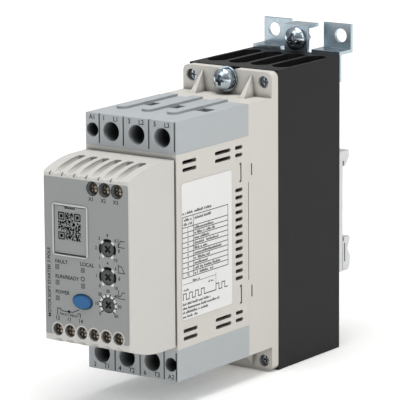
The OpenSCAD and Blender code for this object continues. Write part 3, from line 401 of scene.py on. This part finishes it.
# changeover contact above the lower terminals, with its pivot dot
contactSet = {"line": 0.32, "pivot": (-8.97, -22.05), "pivotR": 0.62,
              "caption": ("FAULT RELAY", -8.95, -23.45, 0.95, 9.6),
              "rest": ((-14.8, -23.9), (-14.8, -21.2), (-13.1, -21.2), (-13.1, -22.1)),
              "arm": ((-12.6, -22.1), (-8.97, -22.1), (-6.9, -22.0), (-4.2, -20.75)),
              "work": ((-4.6, -22.3), (-3.3, -22.3), (-3.3, -23.7)),
              "numbers": (("12", -14.8), ("11", -8.95), ("14", -3.2)), "numberZ": -25.3, "numberH": 1.6}
for run in ("rest", "arm", "work"):
    addLine(dark, contactSet[run], contactSet["line"])
addDisc(dark, contactSet["pivot"], contactSet["pivotR"])
words, x, z, height, width = contactSet["caption"]
addText(dark, words, x, z, height, "CENTER", width)
for words, x in contactSet["numbers"]:
    addText(dark, words, x, contactSet["numberZ"], contactSet["numberH"])
placePrint("plate_print", dark, inkDark, "case", 1, plateFace)
placePrint("plate_black_print_and_shade_rings", black, inkBlack, "case", 1, plateFace)
placePrint("plate_white", white, inkWhite, "case", 1, plateFace)
print("faceplate print done")

# square block code on the flap: cells from the scatter of row and column, so it holds no data;
# in three corners a finder, which is a filled square of three cells inside a ring
codeSet = {"cells": 25, "size": 11.2, "shift": -0.35, "drop": 8.05, "finder": 7, "seed": 3.1, "fill": 0.5}
low, high = corners("service_flap")
n, cell = codeSet["cells"], codeSet["size"] / codeSet["cells"]
left = (low[0] + high[0]) / 2 + codeSet["shift"] - codeSet["size"] / 2
top = high[2] - codeSet["drop"] + codeSet["size"] / 2
row, column = np.mgrid[:n, :n]
filled = scatter(row * 12.9898 + column * 78.233 + codeSet["seed"]) > codeSet["fill"]
far, middle = n - codeSet["finder"], codeSet["finder"] // 2
for cornerRow, cornerColumn in ((0, 0), (0, far), (far, 0)):
    ring = np.maximum(abs(row - cornerRow - middle), abs(column - cornerColumn - middle))
    filled = np.where(ring <= middle + 1, (ring == middle) | (ring <= 1), filled)
x, z = left + column[filled] * cell, top - row[filled] * cell
code = newPrint()
addRects(code, x, z - cell, x + cell, z)
placePrint("flap_code", code, inkBlack, "flap", 1, low[1] - lift)
print("flap print done")

# terminal marks: a number left of each hole and the phase right of it, turned about for the lower row
markSet = {"pitch": 12.7, "mid": 3.0, "left": -3.6, "right": 2.4, "supply": -19.2, "z": 51.8,
           "height": 1.9}
marks = newPrint()
markZ, markH = markSet["z"], markSet["height"]
for i in range(3):
    upper = markSet["mid"] + (i - 1) * markSet["pitch"]
    lower = upper - 2 * markSet["mid"]
    addText(marks, str(2 * i + 1), upper + markSet["left"], markZ, markH)
    addText(marks, "L" + str(i + 1), upper + markSet["right"], markZ, markH)
    addText(marks, str(2 * i + 2), lower + markSet["left"], -markZ, markH)
    addText(marks, "T" + str(i + 1), lower + markSet["right"], -markZ, markH)
addText(marks, "A1", markSet["supply"], markZ, markH)
addText(marks, "A2", -markSet["supply"], -markZ, markH)
blockFace = corners("upper_terminal_block")[0][1] - lift
placePrint("terminal_marks", marks, inkDark, "case", 1, blockFace)
print("terminal marks done")

# side label, from its front edge on: a line of print, a ruled table, a pulse diagram, small print;
# a run of print is start, end, height above the table's top or below its foot, letter height, seed
labelSet = {"front": 0.6, "rear": 2.9, "tableTop": 14.0, "header": 4.4, "split": 7.6, "row": 2.08,
            "rows": 10, "rule": 0.28, "textH": 1.15, "numberH": 1.2,
            "topRuns": ((0, 21, 1.0, 1.15, 3), (1, 6.8, -1.8, 1.15, 5), (0.8, 7.1, -3.6, 1.15, 6),
                        (8.5, 20.6, -1.9, 1.15, 7)),
            "rowUp": 0.5, "rowFrom": 0.7, "rowShort": 8, "rowSpread": 12,
            "diagramDrop": 9.0, "waveFrom": 0.3, "pulse": 4.2, "pulseH": 2.5, "pause": 23.4,
            "pulseLine": 0.36, "thinLine": 0.15, "stemDrop": 1.6, "arrowDrop": 2.6,
            "footRuns": ((7, 12, -2.3, 0.9, 31), (18, 22, -4.8, 0.9, 32), (0.6, 4.2, -5.4, 0.9, 33)),
            "printDrop": 2.3, "printPitch": 1.75, "printRuns": (19.4, 25.8, 17.8, 10.7)}
label = newPrint()
low, high = corners("side_label")
u0, u1, vTop = low[1] + labelSet["front"], high[1] - labelSet["rear"], labelSet["tableTop"]
rowTops = vTop - labelSet["header"] - labelSet["row"] * np.arange(labelSet["rows"] + 1)
vLow, split, textH = rowTops[-1], u0 + labelSet["split"], labelSet["textH"]
for v in (vTop, *rowTops):
    addLine(label, [(u0, v), (u1, v)], labelSet["rule"])
for u in (u0, split, u1):
    addLine(label, [(u, vTop), (u, vLow)], labelSet["rule"])
for runs, level in ((labelSet["topRuns"], vTop), (labelSet["footRuns"], vLow)):
    for start, end, up, height, seed in runs:
        addFiller(label, u0 + start, u0 + end, level + up, height, seed)
for i, v in enumerate(rowTops[1:] + labelSet["rowUp"]):
    addText(label, str(i + 1), (u0 + split) / 2, v + textH / 2, labelSet["numberH"])
    end = split + labelSet["rowShort"] + labelSet["rowSpread"] * scatter(i * 5.17 + 2)
    addFiller(label, split + labelSet["rowFrom"], end, v, textH, 11 + i)


# square wave from one point on: up, along half a step, down and on to the next
def pulses(u, v, count):
    step = labelSet["pulse"] * np.arange(count)[:, None]
    across = u + step + labelSet["pulse"] * np.array((0, 0, 0.5, 0.5))
    height = v + labelSet["pulseH"] * np.array((0, 1, 1, 0)) + 0 * step
    return np.stack([across.ravel(), height.ravel()], axis=1)


# four pulses, a pause and two more, with dimension lines above
vBase, u2 = vLow - labelSet["diagramDrop"], u0 + labelSet["pause"]
uWave, vArrow = u0 + labelSet["waveFrom"], vLow - labelSet["arrowDrop"]
wave = np.vstack([pulses(uWave, vBase, 4), pulses(u2, vBase, 2), (u2 + 2 * labelSet["pulse"], vBase)])
addLine(label, wave, labelSet["pulseLine"])
addLine(label, [(u2, vBase + labelSet["pulseH"]), (u2, vLow - labelSet["stemDrop"])], labelSet["thinLine"])
addLine(label, [(uWave, vArrow), (u2, vArrow)], labelSet["thinLine"])
for i, run in enumerate(labelSet["printRuns"]):
    v = vBase - labelSet["printDrop"] - labelSet["printPitch"] * i
    addFiller(label, u0, u0 + run, v, textH, 41 + i)
placePrint("label_print", label, inkBlack, "case", 0, high[0] + lift)
print("side label done")

# the latch spring again, as a round wire carried up
# a helix, where each ring of points is the coil's radius plus the wire's cosine, turned about Z
springSet = {"turns": 7, "wire": 0.22, "around": 24, "sides": 8, "travel": 4.0, "slack": 0.1}
low, high = corners("latch_spring")
wire, sides = springSet["wire"], springSet["sides"]
coilR, midY, length = (high[0] - low[0]) / 2 - wire, (low[1] + high[1]) / 2, high[2] - low[2]
rise = np.linspace(0, 1, springSet["turns"] * springSet["around"] + 1)[:, None]
turn = 2 * np.pi * springSet["turns"] * rise
lap = np.linspace(0, 2 * np.pi, sides, endpoint=False)
reach = coilR + wire * np.cos(lap)
height = low[2] + wire + (length - 2 * wire) * rise + wire * np.sin(lap)
points = np.stack([reach * np.cos(turn), midY + reach * np.sin(turn), height], axis=-1).reshape(-1, 3)
ring, side = sides * np.arange(len(rise) - 1)[:, None], np.arange(sides)
after = (side + 1) % sides
faces = np.stack([ring + side, ring + sides + side, ring + sides + after, ring + after], axis=-1)
faces = faces.reshape(-1, 4).tolist() + [side.tolist(), (len(points) - 1 - side).tolist()]
mesh = bpy.data.meshes.new("latch_coil")
mesh.from_pydata((points * mm).tolist(), [], faces)
mesh.materials.append(materials["clamp_steel"])
mesh.shade_smooth()
coil = bpy.data.objects.new("latch_coil", mesh)
bpy.context.scene.collection.objects.link(coil)
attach(coil, "case")
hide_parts("latch_spring")
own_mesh(coil)
print("latch coil done")

# soft boxes: a large one on the right, one above, a weak fill from the front left
lightSet = {"aim": (0, -0.075, 0),
            "key": {"place": (0.95, -0.25, 0.55), "size": 0.7, "power": 2.7, "hex": "#fffdf9"},
            "overhead": {"place": (0.1, -0.2, 0.9), "size": 0.6, "power": 6.8, "hex": "#ffffff"},
            "fill": {"place": (-0.35, -0.85, 0.8), "size": 0.6, "power": 1.6, "hex": "#f3f7ff"}}
for name in ("key", "overhead", "fill"):
    box = lightSet[name]
    lamp = bpy.data.lights.new(name, "AREA")
    lamp.size = box["size"]
    lamp.energy = box["power"]
    lamp.color = toLinear(box["hex"])[:3]
    made = bpy.data.objects.new(name, lamp)
    bpy.context.scene.collection.objects.link(made)
    made.location = box["place"]
    made.rotation_mode = "QUATERNION"
    made.rotation_quaternion = (Vector(lightSet["aim"]) - Vector(box["place"])).to_track_quat("-Z", "Y")

# glowing paper sweep, its glow painted dimmer near the part as a painted shade round it, so that little
# light comes up from below
floorSet = {"half": 6.0, "gap": 0.0002, "hex": "#f8f8f7", "glowFrom": 0.15, "glowTo": 1.1,
            "glowLow": 0.18, "glowHigh": 0.85}
paper = surface({"name": "glowing_paper_painted_shade", "hex": floorSet["hex"], "rough": 0.8, "grainMm": 2.0,
                 "bump": 0.02, "drift": 0.004, "paintedShadeStrength": 0.0})
tree = paper.node_tree
away = addNode(tree, "ShaderNodeVectorMath", {"operation": "LENGTH"},
               i0=addNode(tree, "ShaderNodeTexCoord").outputs["Object"]).outputs["Value"]
glowWithPaintedShade = addNode(tree, "ShaderNodeMapRange", Value=away, i1=floorSet["glowFrom"], i2=floorSet["glowTo"],
              i3=floorSet["glowLow"], i4=floorSet["glowHigh"]).outputs[0]
tree.links.new(glowWithPaintedShade, tree.nodes["Principled BSDF"].inputs["Emission Strength"])
tree.nodes["Principled BSDF"].inputs["Emission Color"].default_value = toLinear(floorSet["hex"])
half, level = floorSet["half"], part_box("heatsink")[0].z - floorSet["gap"]
mesh = bpy.data.meshes.new("floor")
mesh.from_pydata([(-half, -half, level), (half, -half, level), (half, half, level), (-half, half, level)],
                 [], [(0, 1, 2, 3)])
mesh.materials.append(paper)
floor = bpy.data.objects.new("floor", mesh)
bpy.context.scene.collection.objects.link(floor)

# bright overhead and behind, dim in front, so that plated metal has something to reflect
skySet = {"low": 0.06, "high": 0.36, "highFrom": 0.6, "back": 0.6, "backFrom": 0.3, "backTo": 0.8}
world = bpy.data.worlds.new("studio")
bpy.context.scene.world = world
world.use_nodes = True
tree = world.node_tree
heading = addNode(tree, "ShaderNodeSeparateXYZ",
                  i0=addNode(tree, "ShaderNodeTexCoord").outputs["Generated"]).outputs
above = addNode(tree, "ShaderNodeMapRange", Value=heading["Z"], i1=0.0, i2=skySet["highFrom"],
                i3=skySet["low"], i4=skySet["high"]).outputs[0]
behind = addNode(tree, "ShaderNodeMapRange", Value=heading["Y"], i1=skySet["backFrom"],
                 i2=skySet["backTo"], i3=0.0, i4=skySet["back"]).outputs[0]
bright = addNode(tree, "ShaderNodeMath", {"operation": "MAXIMUM"}, i0=above, i1=behind).outputs[0]
tree.nodes["Background"].inputs["Color"].default_value = toLinear("#ffffff")
tree.links.new(bright, tree.nodes["Background"].inputs["Strength"])
bpy.context.scene.view_settings.view_transform = "Standard"
print("lights and floor done")

# camera solved from the photo's edges: long lens from the front right, slightly above
camSet = {"place": (0.75422, -1.14772, 0.28066), "az": 35.13, "el": 11.62, "roll": -0.39,
          "lens": 288.5, "sensor": 36, "near": 0.05, "far": 30}
az, el, roll = (math.radians(camSet[k]) for k in ("az", "el", "roll"))
back = Vector((math.sin(az) * math.cos(el), -math.cos(az) * math.cos(el), math.sin(el)))
right = Vector((math.cos(az), math.sin(az), 0))
up = back.cross(right)
right, up = right * math.cos(roll) + up * math.sin(roll), up * math.cos(roll) - right * math.sin(roll)
camera = bpy.data.cameras.new("camera")
camera.sensor_width, camera.lens = camSet["sensor"], camSet["lens"]
camera.clip_start, camera.clip_end = camSet["near"], camSet["far"]
holder = bpy.data.objects.new("camera", camera)
bpy.context.scene.collection.objects.link(holder)
holder.matrix_world = Matrix.Translation(camSet["place"]) @ Matrix((right, up, back)).transposed().to_4x4()
bpy.context.scene.camera = holder

print("scene ready")
